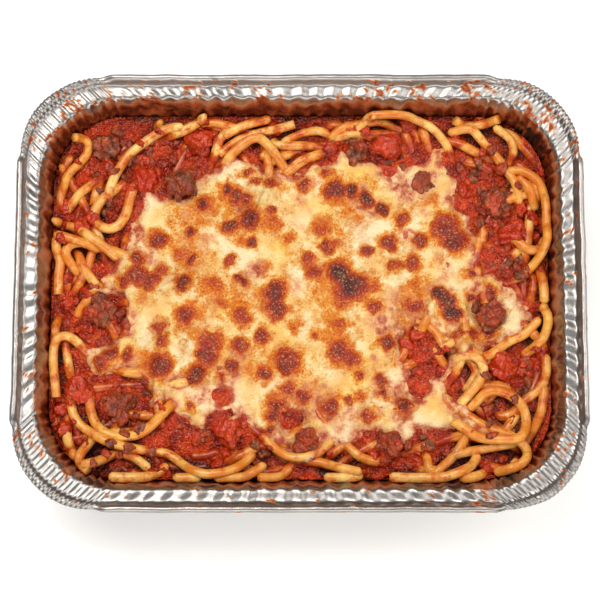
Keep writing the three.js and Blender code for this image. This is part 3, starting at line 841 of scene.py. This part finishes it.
# ---- Foil tray ---------------------------------------------------------------------------
# The section of the tray from the middle of its base to the curled edge. Each row holds the
# half length, half width and corner radius there, and its height. From the foot of the wall on
# it also holds how far the rolled hem of the straight runs stands out and up, and the depths of
# the flutes: sideways and upwards on the straight runs, coarse and fine in the corners.
BASE_ROWS = [
    (6, 4, 2, 0.6), (36, 25, 10, 0.6), (60, 41, 13, 0.6), (67.5, 46, 14.5, 0.6), (68.6, 47.1, 15, 0.1),
    (72.6, 51.1, 17.2, 0.06),
]
WALL_ROWS = [
    (74.5, 53, 18.5, 0.5, 0, 0, 0.1, 0, 0.1, 0.1), (75.7, 54.2, 19.5, 1.5, 0, 0, 0.22, 0, 0.2, 0.15),
    (76.4, 54.9, 20.1, 3.4, 0, 0, 0.32, 0, 0.3, 0.2), (77.9, 56.5, 21.3, 8.5, 0, 0, 0.42, 0, 0.45, 0.28),
    (79.6, 58.2, 22.6, 14.3, 0, 0, 0.46, 0, 0.5, 0.3), (81.2, 59.9, 23.7, 20, 0, 0, 0.48, 0, 0.5, 0.3),
    (82.7, 61.4, 24.9, 25.2, 0, 0, 0.48, 0, 0.5, 0.32), (84.1, 62.9, 26, 30.2, 0, 0, 0.46, 0.05, 0.5, 0.34),
    (85.1, 64, 26.7, 33.6, 0, 0, 0.4, 0.12, 0.45, 0.3), (85.6, 64.6, 27, 34.7, 0, 0, 0.26, 0.2, 0.3, 0.25),
    (86.5, 65.5, 27.1, 35.1, 0, 0, 0.1, 0.3, 0.1, 0.3),
    (87.9, 66.9, 27.1, 35.05, 0, 0, 0.1, 0.34, 0.1, 0.36),
    (89.3, 68.3, 27, 35.1, 0, 0, 0.06, 0.24, 0.1, 0.4), (90, 69, 26.8, 35.5, 0, 0.1, 0.05, 0.1, 0.1, 0.42),
    (90.3, 69.4, 26.5, 36.2, 0.15, 0.45, 0.04, 0.05, 0.12, 0.4),
    (90.7, 69.9, 26.2, 36.6, 0.3, 0.95, 0.03, 0.04, 0.12, 0.38),
    (91.2, 70.4, 25.9, 36.7, 0.45, 1.25, 0, 0.03, 0.12, 0.36),
    (91.7, 70.9, 25.6, 36.5, 0.8, 1.25, 0, 0.02, 0.12, 0.34), (92, 71.2, 25.5, 36, 1, 0.9, 0, 0, 0.12, 0.3),
    (91.9, 71.1, 25.5, 35.4, 1.05, 0.7, 0, 0, 0.1, 0.2), (91.4, 70.6, 25.6, 35, 0.95, 0.4, 0, 0, 0.1, 0.15),
    (90.9, 70.1, 25.9, 34.95, 0.6, 0.4, 0, 0, 0.05, 0.1),
]
LONG_FLUTES = 22
SHORT_FLUTES = 15
CORNER_FLUTES = 13
CORNER_PLEATS = 24
PER_FLUTE = 6              # places round the tray for each flute and each pleat
PER_PLEAT = 4


def tray_stations():
    """Places round the tray: side, how far along (straight) or round (corner), and flute phase."""
    result = []
    for side in range(4):
        flutes = (SHORT_FLUTES, LONG_FLUTES)[side % 2]
        count = flutes * PER_FLUTE
        result += [(side, True, i / count, flutes * i / count) for i in range(count)]
        count = CORNER_PLEATS * PER_PLEAT
        result += [(side, False, i / count, i / count) for i in range(count)]
    return result


def around(side, straight, t, hx, hy, r):
    """A place on a rounded rectangle and the direction out of it."""
    cx, cy = hx - r, hy - r
    sx, sy = ((1, 1), (-1, 1), (-1, -1), (1, -1))[side]
    if not straight:
        angle = (side + t) * math.pi / 2
        nx, ny = math.cos(angle), math.sin(angle)
        return sx * cx + r * nx, sy * cy + r * ny, nx, ny
    u = 2 * t - 1
    return ((hx, u * cy, 1, 0), (-u * cx, hy, 0, 1), (-hx, -u * cy, -1, 0), (u * cx, -hy, 0, -1))[side]


def tray_rows():
    """The rows of the section, the wall and rim with a ring more between each two."""
    plain = [row + (0,) * 6 for row in BASE_ROWS]
    curved = np.array(plain[-1:] + WALL_ROWS, dtype=float)
    return np.array(plain[:-1] + smooth_rows(curved))


def smooth_rows(p):
    """Adds a ring half way between each two rows, on a smooth curve."""
    q = np.vstack([2 * p[0] - p[1], p, 2 * p[-1] - p[-2]])
    result = []
    for a, b, c, d in zip(q, q[1:], q[2:], q[3:]):
        result += [b, (9 * (b + c) - a - d) / 16]
    return result + [p[-1]]


def straight_flute(side, t, phase, row, uneven, shift):
    """How far a place on a straight run is pushed out and lifted by the hem and the flutes."""
    out, up, flute, flute_up = row[4:8]
    ends = ramp01(min(t, 1 - t) / 0.035, 0, 1)
    key = (side, True, int(phase))
    wave = math.sin(2 * math.pi * (phase + shift[key])) * uneven[key]
    lean = math.sin(2 * math.pi * (phase + 0.22 + shift[key])) * uneven[key]
    return ends * (out + flute * wave), ends * (up + flute_up * lean)


def corner_pleat(side, t, row, uneven):
    """The same in a corner, where the foil is gathered in pleats over broader flutes."""
    z, coarse, fine = row[3], row[8], row[9]
    ends = ramp01(min(t, 1 - t) / 0.05, 0, 1)
    number = int(t * CORNER_FLUTES)
    broad = coarse * math.sin(2 * math.pi * t * CORNER_FLUTES) * uneven[(side, False, number)]
    small = fine * math.sin(2 * math.pi * t * CORNER_PLEATS + 1) * uneven[(side, False, number + 20)]
    flat = ramp01(z, 33.5, 34.9)
    push = broad * (1 - flat) + 0.8 * small * (1 - 0.6 * flat)
    lift = 0.9 * broad + small * (1.1 if z > 35.3 else 0.5)
    return ends * push, ends * flat * lift


def tray_points(rows, stations):
    """The places of the foil, fluted, pleated and creased."""
    pick = random.Random(5)
    uneven = {(side, kind, i): pick.uniform(0.55, 1.35)
              for side in range(4) for kind in (True, False) for i in range(60)}
    shift = {key: pick.uniform(-0.12, 0.12) for key in uneven}
    points = []
    for row in rows:
        hx, hy, r, z = row[:4]
        weight = np.clip((z - 0.8) / 4, 0, 1)
        for side, straight, t, phase in stations:
            x, y, nx, ny = around(side, straight, t, hx, hy, r)
            if straight:
                push, lift = straight_flute(side, t, phase, row, uneven, shift)
            else:
                push, lift = corner_pleat(side, t, row, uneven)
            at = Vector((x, y, z))
            crease = noise.noise(at / 8) * 0.26 + noise.noise(at / 3) * 0.06
            push += crease * weight
            lift += 0.5 * crease * (z > 34)
            points.append((x + nx * push, y + ny * push, z + lift))
    return points + [(0, 0, rows[0][3])]


def make_tray(inner, outer):
    """The foil as one thin shell, with baked-on sauce and painted shade on the side that faces the food."""
    rows, stations = tray_rows(), tray_stations()
    points = tray_points(rows, stations)
    n = len(stations)
    faces = [(len(points) - 1, j, (j + 1) % n) for j in range(n)]
    for i in range(len(rows) - 1):
        for j in range(n):
            k = (j + 1) % n
            faces.append((i * n + j, (i + 1) * n + j, (i + 1) * n + k, i * n + k))
    piece = new_piece("foil_shell", points, faces, inner, outer)
    set_mask(piece, "residue_and_shade", residue_and_shade(np.array(points)))
    set_mask(piece, "char", charring(np.array(points)))
    thicken(piece, FOIL_THICKNESS, back_slot=1)
    stands_for(piece, "foil", "foil_tray")


def noise_of(points, size, shift=0.0):
    """Noise at each place, with features of the given size in millimetres."""
    return np.array([noise.noise(Vector((x / size + shift, y / size, z / size))) for x, y, z in points])


def residue_and_shade(p):
    """Baked-on sauce and painted shade: a film on the wall above the food, thickest and darkest towards its
    foot and reaching higher on the far wall, partly painted shade; baked-on splashes on the flange.
    """
    x, y, z = p.T
    slow, quick, tiny = noise_of(p, 9), noise_of(p, 3, 40), noise_of(p, 1.3, 80)
    far = ramp01(y, -20, 60)
    crust = 1 - ramp01(np.hypot(x - 76, y - 50), 6, 26)
    # The film thickens towards the foot of the wall and reaches higher on the far wall: baked-on sauce, with
    # painted shade in the gap by the food.
    wall = 1.15 - ramp01(z, 22 + 3 * far, 35 + 1.5 * far) * 1.25 + 0.7 * slow + 0.35 * quick
    wall += 0.5 * crust * (1 + quick)
    splash = 0.5 * slow + 0.5 * quick + 0.7 * tiny + 0.12 * far + 0.16 * crust
    flange = 0.8 * ramp01(splash, 0.36, 0.58) * (z < 37.5)
    return np.clip(np.where(z < FLANGE_Z, wall, flange), 0, 1) * (z > FOOT_Z)


def charring(p):
    """The burnt mark on the wall in the far right corner."""
    x, y, z = p.T
    patch = 0.8 * (1 - ramp01(np.hypot(x - 76, y - 53), 3, 13)) + 1.2 * noise_of(p, 2.2, 12)
    return np.clip(patch, 0, 1) * (1 - ramp01(z, 30, 34))


# ---- Materials ---------------------------------------------------------------------------
class Nodes:
    """Short hand for building a node tree."""

    def __init__(self, tree):
        self.tree = tree

    def add(self, kind, **values):
        node = self.tree.nodes.new(kind)
        for key, value in values.items():
            setattr(node, key, value)
        return node

    def link(self, a, b):
        self.tree.links.new(a, b)

    def put(self, socket, value):
        """Links another node's output to an input, or gives the input a value of its own."""
        if hasattr(value, "is_output"):
            self.link(value, socket)
        else:
            socket.default_value = value

    def fill(self, node, values):
        for label, value in values.items():
            self.put(node.inputs[label], value)

    def math(self, operation, a, b, clamp=False):
        node = self.add("ShaderNodeMath", operation=operation, use_clamp=clamp)
        self.put(node.inputs[0], a)
        self.put(node.inputs[1], b)
        return node.outputs[0]

    def plus(self, a, b):
        return self.math("ADD", a, b)

    def times(self, a, b, clamp=False):
        return self.math("MULTIPLY", a, b, clamp)

    def mix(self, factor, a, b, blend="MIX"):
        node = self.add("ShaderNodeMix", data_type="RGBA", blend_type=blend)
        self.put(node.inputs["Factor"], factor)
        self.put(node.inputs[6], a)
        self.put(node.inputs[7], b)
        return node.outputs[2]

    def ramp(self, factor, stops):
        node = self.add("ShaderNodeValToRGB")
        self.put(node.inputs[0], factor)
        elements = node.color_ramp.elements
        while len(elements) < len(stops):
            elements.new(0.5)
        for element, (place, colour) in zip(elements, stops):
            element.position = place
            element.color = colour if isinstance(colour, tuple) else (colour, colour, colour, 1)
        return node.outputs[0]

    def noise(self, vector, scale, detail=3.0, roughness=0.55):
        node = self.add("ShaderNodeTexNoise")
        self.fill(node, {"Vector": vector, "Scale": scale, "Detail": detail, "Roughness": roughness})
        return node.outputs["Fac"]

    def cells(self, vector, scale):
        node = self.add("ShaderNodeTexVoronoi")
        self.fill(node, {"Vector": vector, "Scale": scale})
        return node.outputs["Distance"]

    def place(self):
        return self.add("ShaderNodeTexCoord").outputs["Object"]

    def mask(self, name):
        return self.add("ShaderNodeAttribute", attribute_name=name).outputs["Fac"]

    def bump(self, height, strength, distance, normal=None):
        node = self.add("ShaderNodeBump")
        self.fill(node, {"Strength": strength, "Distance": distance, "Height": height})
        if normal is not None:
            self.link(normal, node.inputs["Normal"])
        return node.outputs["Normal"]


def make_group(name, inputs, outputs):
    """An empty node group that takes a place on the surface, and colours by name."""
    tree = bpy.data.node_groups.new(name, "ShaderNodeTree")
    tree.interface.new_socket("Vector", in_out="INPUT", socket_type="NodeSocketVector")
    for label, colour in inputs.items():
        socket = tree.interface.new_socket(label, in_out="INPUT", socket_type="NodeSocketColor")
        socket.default_value = colour
    for label, kind in outputs.items():
        tree.interface.new_socket(label, in_out="OUTPUT", socket_type="NodeSocket" + kind)
    nodes = Nodes(tree)
    return tree, nodes, nodes.add("NodeGroupInput").outputs, nodes.add("NodeGroupOutput")


def sauce_grain_group():
    """Cooked, grainy sauce: its colour, with painted shade in the hollows of its grain and painted glints, a
    height for its grain and how wet it is.
    """
    tree, n, given, result = make_group(
        "grainy sauce",
        {"Deep": rgb(124, 18, 5), "Bright": rgb(206, 58, 14), "Oil": rgb(220, 96, 22)},
        {"Colour": "Color", "Height": "Float", "Wet": "Float"})
    vector = given["Vector"]
    broad = n.noise(vector, 190, 4)
    fine = n.noise(vector, 900, 3)
    body = n.mix(n.ramp(broad, [(0.36, 0.0), (0.66, 1.0)]), given["Deep"], given["Bright"])
    oily = n.ramp(n.noise(vector, 330, 2), [(0.56, 0.0), (0.72, 0.75)])
    colour = n.mix(oily, body, given["Oil"])
    # Painted shade: darker where the fine noise is low, in the hollows of the grain that the same noise
    # raises.
    colour = n.mix(n.ramp(fine, [(0.3, 0.5), (0.5, 0.0)]), colour, rgb(70, 8, 4))
    # Painted glints: pale specks mixed into the colour stand in for sparkling highlights.
    painted_glint = n.ramp(n.noise(vector, 1400, 2, 0.6), [(0.58, 0.0), (0.7, 0.45)])
    n.fill(result, {
        "Colour": n.mix(painted_glint, colour, rgb(240, 140, 84)),
        "Height": n.plus(n.times(fine, 0.8), n.times(n.cells(vector, 1100), -0.7)),
        "Wet": n.ramp(broad, [(0.3, 0.17), (0.7, 0.08)])})
    return tree


def specks_group():
    """Sparse dark specks of herb and pepper."""
    tree, n, given, result = make_group("specks", {}, {"Mask": "Float"})
    spot = n.ramp(n.cells(given["Vector"], 420), [(0.10, 1.0), (0.19, 0.0)])
    here = n.ramp(n.noise(given["Vector"], 160, 1), [(0.5, 0.0), (0.58, 1.0)])
    n.fill(result, {"Mask": n.times(spot, here)})
    return tree


def new_material(name):
    """A material, its nodes, its shader and the place on the surface that its patterns read."""
    material = bpy.data.materials.new(name)
    material.use_nodes = True
    nodes = Nodes(material.node_tree)
    return material, nodes, material.node_tree.nodes["Principled BSDF"], nodes.place()


def use_group(nodes, tree, vector):
    node = nodes.add("ShaderNodeGroup", node_tree=tree)
    nodes.fill(node, {"Vector": vector})
    return node.outputs


def soaked(weight, radius, scale):
    """How far light soaks into food before it comes back."""
    return {"Subsurface Weight": weight, "Subsurface Radius": radius, "Subsurface Scale": scale}


def sauce_material(grain):
    material, n, shader, vector = new_material("tomato and meat sauce")
    sauce = use_group(n, grain, vector)
    # Painted shade: the colour darkens to a deep red-brown in the hollows, by the depth below the heap.
    dark = n.ramp(n.mask("depth"), [(0.08, 0.0), (0.55, 0.85)])
    n.fill(shader, {
        "Base Color": n.mix(dark, sauce["Colour"], rgb(44, 5, 3)),
        "Roughness": sauce["Wet"],
        "Normal": n.bump(sauce["Height"], 1.0, 0.0009),
        "Specular IOR Level": 0.42,
        **soaked(0.1, (1, 0.2, 0.1), 0.0015)})
    return material


def pasta_material(specks):
    material, n, shader, vector = new_material("sauce-stained spaghetti")
    pale = n.mix(n.mask("tone"), rgb(242, 204, 120), rgb(234, 174, 78))
    patch = n.ramp(n.noise(vector, 120, 3), [(0.36, 0.0), (0.62, 0.9)])
    warm = n.mix(patch, pale, rgb(214, 122, 32))
    stain_at = n.plus(n.noise(vector, 260, 4, 0.65), n.times(n.mask("coat"), 0.3))
    stain = n.ramp(stain_at, [(0.5, 0.0), (0.88, 1.0)])
    glazed = n.mix(n.ramp(stain, [(0.0, 0.0), (0.4, 1.0)]), warm, rgb(206, 104, 26))
    colour = n.mix(n.ramp(stain, [(0.35, 0.0), (0.85, 0.95)]), glazed, rgb(158, 34, 10))
    speck = n.times(use_group(n, specks, vector)["Mask"], 0.45)
    colour = n.mix(speck, colour, rgb(104, 48, 14))
    # Painted shade: strands deep in the heap darken to brown, by their depth below it.
    dark = n.ramp(n.mask("depth"), [(0.25, 0.0), (0.85, 0.8)])
    height = n.plus(n.times(n.noise(vector, 1500, 2), 0.3), n.times(stain, 0.5))
    n.fill(shader, {
        "Base Color": n.mix(dark, colour, rgb(96, 30, 10)),
        "Roughness": n.ramp(n.noise(vector, 700, 2), [(0.3, 0.2), (0.7, 0.34)]),
        "Normal": n.bump(height, 0.35, 0.0003),
        "Specular IOR Level": 0.45,
        **soaked(0.3, (1, 0.55, 0.2), 0.0012)})
    return material


def baked_level(n, fine, coarse):
    """How brown the cheese is, broken up by its grain."""
    brown = n.mask("brown")
    uneven = n.times(n.math("SUBTRACT", coarse, 0.5), 0.22)
    grit = n.times(n.math("SUBTRACT", fine, 0.5), n.ramp(brown, [(0.1, 0.32), (0.5, 0.5)]))
    return n.plus(n.plus(brown, uneven), grit)


def cheese_colour(n, vector, level):
    """From milky pale through gold and brown to charred, thin places showing the sauce, with painted glints.
    """
    baked = n.ramp(level, [
        (0.02, rgb(238, 214, 152)), (0.12, rgb(236, 178, 62)), (0.22, rgb(230, 144, 24)),
        (0.34, rgb(214, 100, 12)), (0.48, rgb(184, 60, 12)), (0.64, rgb(150, 36, 10)),
        (0.82, rgb(112, 24, 12)), (1.0, rgb(66, 14, 12))])
    patch = n.ramp(n.noise(vector, 75, 3), [(0.40, 0.0), (0.64, 1.0)])
    milky = n.mix(patch, rgb(238, 216, 170), rgb(240, 192, 90))
    pale = n.mix(n.ramp(level, [(0.10, 1.0), (0.24, 0.0)]), baked, milky)
    flush = n.times(n.ramp(n.noise(vector, 150, 3), [(0.48, 0.0), (0.66, 1.0)]), 0.35)
    flushed = n.mix(flush, pale, rgb(208, 138, 104))
    bare = n.times(n.mask("thin"), n.ramp(n.noise(vector, 300, 4, 0.65), [(0.36, 0.25), (0.62, 1.0)]))
    blush = n.mix(n.ramp(bare, [(0.1, 0.0), (0.45, 0.75)]), flushed, rgb(222, 150, 106))
    colour = n.mix(n.ramp(bare, [(0.4, 0.0), (0.8, 0.92)]), blush, rgb(166, 50, 22))
    colour = n.mix(n.ramp(level, [(0.25, 0.0), (0.42, 1.0)]), colour, baked)
    gritty = n.ramp(n.noise(vector, 2300, 2, 0.7), [(0.32, 0.8), (0.5, 1.0), (0.66, 1.1)])
    colour = n.mix(1.0, colour, gritty, "MULTIPLY")
    # Painted glints: pale specks stand in for sparkling highlights, stronger on the browned parts.
    painted_glint = n.ramp(n.noise(vector, 1500, 2, 0.6), [(0.56, 0.0), (0.68, 0.5)])
    return n.mix(n.times(painted_glint, n.ramp(level, [(0.1, 0.5), (0.4, 1.0)])), colour, rgb(247, 190, 118))


def cheese_material():
    material, n, shader, vector = new_material("melted browned cheese")
    fine = n.noise(vector, 1300, 3, 0.6)
    coarse = n.noise(vector, 420, 3, 0.6)
    level = baked_level(n, fine, coarse)
    rough = n.times(n.ramp(level, [(0.12, 0.3), (0.45, 1.0)]), n.plus(fine, coarse))
    tiny = n.bump(n.noise(vector, 1700, 2, 0.6), 0.7, 0.0004)
    n.fill(shader, {
        "Base Color": cheese_colour(n, vector, level),
        "Roughness": n.ramp(level, [(0.1, 0.32), (0.5, 0.26), (0.9, 0.2)]),
        "Normal": n.bump(rough, 0.9, 0.0007, tiny),
        "Specular IOR Level": 0.45,
        **soaked(0.15, (1, 0.6, 0.3), 0.0015)})
    return material


def mince_material(grain):
    material, n, shader, vector = new_material("browned mince")
    sauce = use_group(n, grain, vector)
    meat = n.ramp(n.noise(vector, 420, 4, 0.65), [
        (0.3, rgb(66, 26, 13)), (0.48, rgb(120, 56, 30)),
        (0.62, rgb(156, 90, 52)), (0.76, rgb(190, 132, 84))])
    cover = n.plus(n.noise(vector, 210, 3), n.times(n.mask("tone"), 0.2))
    n.fill(shader, {
        "Base Color": n.mix(n.ramp(cover, [(0.47, 0.0), (0.7, 0.75)]), meat, sauce["Colour"]),
        "Roughness": n.ramp(n.noise(vector, 900, 2), [(0.3, 0.25), (0.7, 0.45)]),
        "Normal": n.bump(sauce["Height"], 0.9, 0.0005),
        "Specular IOR Level": 0.45})
    return material


def tomato_material(grain):
    material, n, shader, vector = new_material("cooked tomato")
    sauce = use_group(n, grain, vector)
    flesh = n.mix(n.noise(vector, 160, 3), rgb(150, 16, 5), rgb(200, 54, 12))
    flesh = n.mix(n.times(n.mask("tone"), 0.35), flesh, rgb(216, 84, 32))
    coated = n.ramp(n.noise(vector, 300, 3), [(0.42, 0.0), (0.62, 0.9)])
    n.fill(shader, {
        "Base Color": n.mix(coated, flesh, sauce["Colour"]),
        "Roughness": 0.2,
        "Normal": n.bump(sauce["Height"], 0.7, 0.0005),
        "Specular IOR Level": 0.45,
        **soaked(0.25, (1, 0.15, 0.08), 0.002)})
    return material


def creased_foil_group():
    """Fine crinkles of thin foil: a height, a roughness and a slow change of tint."""
    tree, n, given, result = make_group(
        "creased foil", {}, {"Height": "Float", "Roughness": "Float", "Tint": "Float"})
    vector = given["Vector"]
    crinkle = n.noise(vector, 170, 2, 0.5)
    waves = n.noise(vector, 520, 3, 0.6)
    n.fill(result, {
        "Height": n.plus(n.times(crinkle, 1.6), n.times(waves, 0.5)),
        "Roughness": n.ramp(n.noise(vector, 1500, 2), [(0.3, 0.3), (0.7, 0.42)]),
        "Tint": n.noise(vector, 90, 3)})
    return tree


def foil_metal(n, crease, vector):
    """The metal's colour, its roughness and its crinkles."""
    foil = use_group(n, crease, vector)
    colour = n.mix(foil["Tint"], rgb(182, 179, 177), rgb(140, 136, 134))
    return colour, foil["Roughness"], n.bump(foil["Height"], 0.22, 0.0006)


def bare_foil(crease):
    material, n, shader, vector = new_material("bare foil")
    metal, roughness, crinkles = foil_metal(n, crease, vector)
    n.fill(shader, {"Base Color": metal, "Roughness": roughness, "Metallic": 1.0, "Normal": crinkles})
    return material


def dirty_foil(crease):
    """Foil under a film of baked-on sauce, golden where thin, brown where thick, with a burnt mark; the
    brown at the foot of the wall is partly painted shade.
    """
    material, n, shader, vector = new_material("foil with baked-on sauce")
    metal, roughness, crinkles = foil_metal(n, crease, vector)
    wander = n.noise(vector, 330, 4, 0.65)
    film = n.times(n.mask("residue_and_shade"), n.plus(n.times(wander, 1.5), 0.2), True)
    glaze = n.ramp(film, [(0.12, 0.0), (0.28, 0.55), (0.5, 0.92), (0.9, 1.0)])
    # Thicker film is browner; where it is thick at the foot of the wall this brown is partly painted shade.
    stuff = n.ramp(film, [
        (0.2, rgb(208, 144, 66)), (0.42, rgb(190, 102, 30)),
        (0.65, rgb(152, 62, 14)), (0.95, rgb(88, 28, 7))])
    burnt = n.ramp(n.plus(n.mask("char"), n.times(wander, 0.5)), [(0.72, 0.0), (1.0, 1.0)])
    cover = n.math("MAXIMUM", glaze, burnt)
    n.fill(shader, {
        "Base Color": n.mix(cover, metal, n.mix(burnt, stuff, rgb(34, 18, 10))),
        "Metallic": n.math("SUBTRACT", 1.0, n.times(cover, 0.9), True),
        "Roughness": n.plus(roughness, n.times(cover, 0.12)),
        "Normal": n.bump(film, 0.4, 0.0004, crinkles),
        "Specular IOR Level": 0.3})
    return material


# ---- Build -------------------------------------------------------------------------------
def make_pasta(heights, sauce, pasta):
    """The heap, from the strands at the bottom up to the sauce on top; it adds to the heights."""
    sauce_top = sauce_level()
    strays = [(route, 2, 2) for route in stray_routes(count=90, seed=77)]
    parts = [make_strands("under_strands", heights, sauce_top, strays, pasta, seed=900, sink=0.9),
             make_sauce(sauce_top, sauce)]
    heights[:] = np.maximum(heights, sauce_top)
    parts.append(make_clots("sauce_clots", heights, CLOTS, sauce))
    parts.append(make_strands("top_strands", heights, sauce_top, STRANDS, pasta, seed=1300, sink=0.5))
    parts.append(make_clots("top_sauce", heights, TOP_CLOTS, sauce))
    # Painted shade: each part is marked with its depth below the smoothed heap, which darkens its colour in
    # the hollows.
    smoothed = blur(heights, 2.2)
    for part in parts:
        shade_depth(part, smoothed)
        stands_for(part, "pasta", "spaghetti_heap")


def make_lumps(heights, mince, tomato):
    """The large lumps in place of their solids, and the small ones strewn round them."""
    for i in range(1, 11):
        node_lump(f"mince_lump_{i}", mince, "mince", grain=1.9, depth=0.24, seed=11.0 * i + 3)
    for i in range(1, 9):
        node_lump(f"tomato_chunk_{i}", tomato, "tomato", grain=2.2, depth=0.14, seed=7.0 * i + 5)
    crumbs = near_places(MEATY, count=170, sizes=(0.9, 2.3), seed=61)
    scatter("mince_crumbs", heights, crumbs, mince, "mince", grain=1.2, depth=0.3, rise=-0.1)
    bits = near_places(RED, count=90, sizes=(1.0, 2.6), seed=62)
    scatter("tomato_bits", heights, bits, tomato, "tomato", grain=1.4, depth=0.2, rise=-0.15)


def make_meal():
    """The tray first, then its filling from the bottom up."""
    crease, grain = creased_foil_group(), sauce_grain_group()
    make_tray(dirty_foil(crease), bare_foil(crease))
    heights = bed_level()
    make_pasta(heights, sauce_material(grain), pasta_material(specks_group()))
    cheese = make_cheese(heights, cheese_material())
    stands_for(cheese, "cheese", "melted_cheese")
    make_lumps(heights, mince_material(grain), tomato_material(grain))


# ---- Floor, light and camera --------------------------------------------------------------
def make_floor():
    """A pale matt table that glows a little, as under light from all round."""
    deselect()
    bpy.ops.mesh.primitive_plane_add(size=6, location=(0, 0, -0.0002))
    floor = bpy.context.object
    floor.name = "floor"
    material, n, shader, _ = new_material("white table")
    n.fill(shader, {
        "Base Color": (0.95, 0.95, 0.95, 1),
        "Roughness": 0.8,
        "Emission Color": (1, 1, 1, 1),
        "Emission Strength": 0.26})
    floor.data.materials.append(material)


def soft_light(name, place, size, power):
    """A rectangular lamp of warm white that faces the tray."""
    lamp = bpy.data.lights.new(name, "AREA")
    lamp.shape = "RECTANGLE"
    lamp.size, lamp.size_y = size
    lamp.energy = power
    lamp.color = (1, 0.955, 0.89)
    holder = bpy.data.objects.new(name, lamp)
    bpy.context.scene.collection.objects.link(holder)
    holder.location = place
    holder.rotation_euler = (-Vector(place)).to_track_quat("-Z", "Y").to_euler()


def make_light():
    """A dim sky, brighter overhead, and four lamps."""
    world = bpy.data.worlds.new("studio")
    bpy.context.scene.world = world
    world.use_nodes = True
    nodes = Nodes(world.node_tree)
    split = nodes.add("ShaderNodeSeparateXYZ")
    nodes.link(nodes.add("ShaderNodeTexCoord").outputs["Generated"], split.inputs[0])
    sky = nodes.ramp(split.outputs["Z"], [(0.0, 0.07), (0.5, 0.15), (0.95, 0.36)])
    background = world.node_tree.nodes["Background"]
    nodes.link(sky, background.inputs["Color"])
    background.inputs["Strength"].default_value = 1
    soft_light("key", (-0.3, 0.4, 0.95), (0.75, 0.75), 7.1)
    soft_light("glint", (-0.25, 0.35, 0.95), (0.14, 0.14), 1.3)
    soft_light("fill", (0.6, 0.15, 0.65), (0.4, 0.8), 3.2)
    soft_light("front", (0.0, -0.85, 0.5), (1.2, 0.4), 5.6)


def make_camera():
    """Looks down from the near side, from the distance a person would take the tray in."""
    distance = 0.6
    rise = math.radians(80)
    target = Vector((0, -0.0035, 0.036))
    camera = bpy.data.cameras.new("camera")
    camera.lens = 111
    camera.sensor_width = 36
    holder = bpy.data.objects.new("camera", camera)
    bpy.context.scene.collection.objects.link(holder)
    away = Vector((0, -math.cos(rise), math.sin(rise))) * distance
    holder.location = target + away
    holder.rotation_euler = (-away).to_track_quat("-Z", "Y").to_euler()
    bpy.context.scene.camera = holder


make_meal()
make_floor()
make_light()
make_camera()
bpy.context.scene.view_settings.view_transform = "Standard"
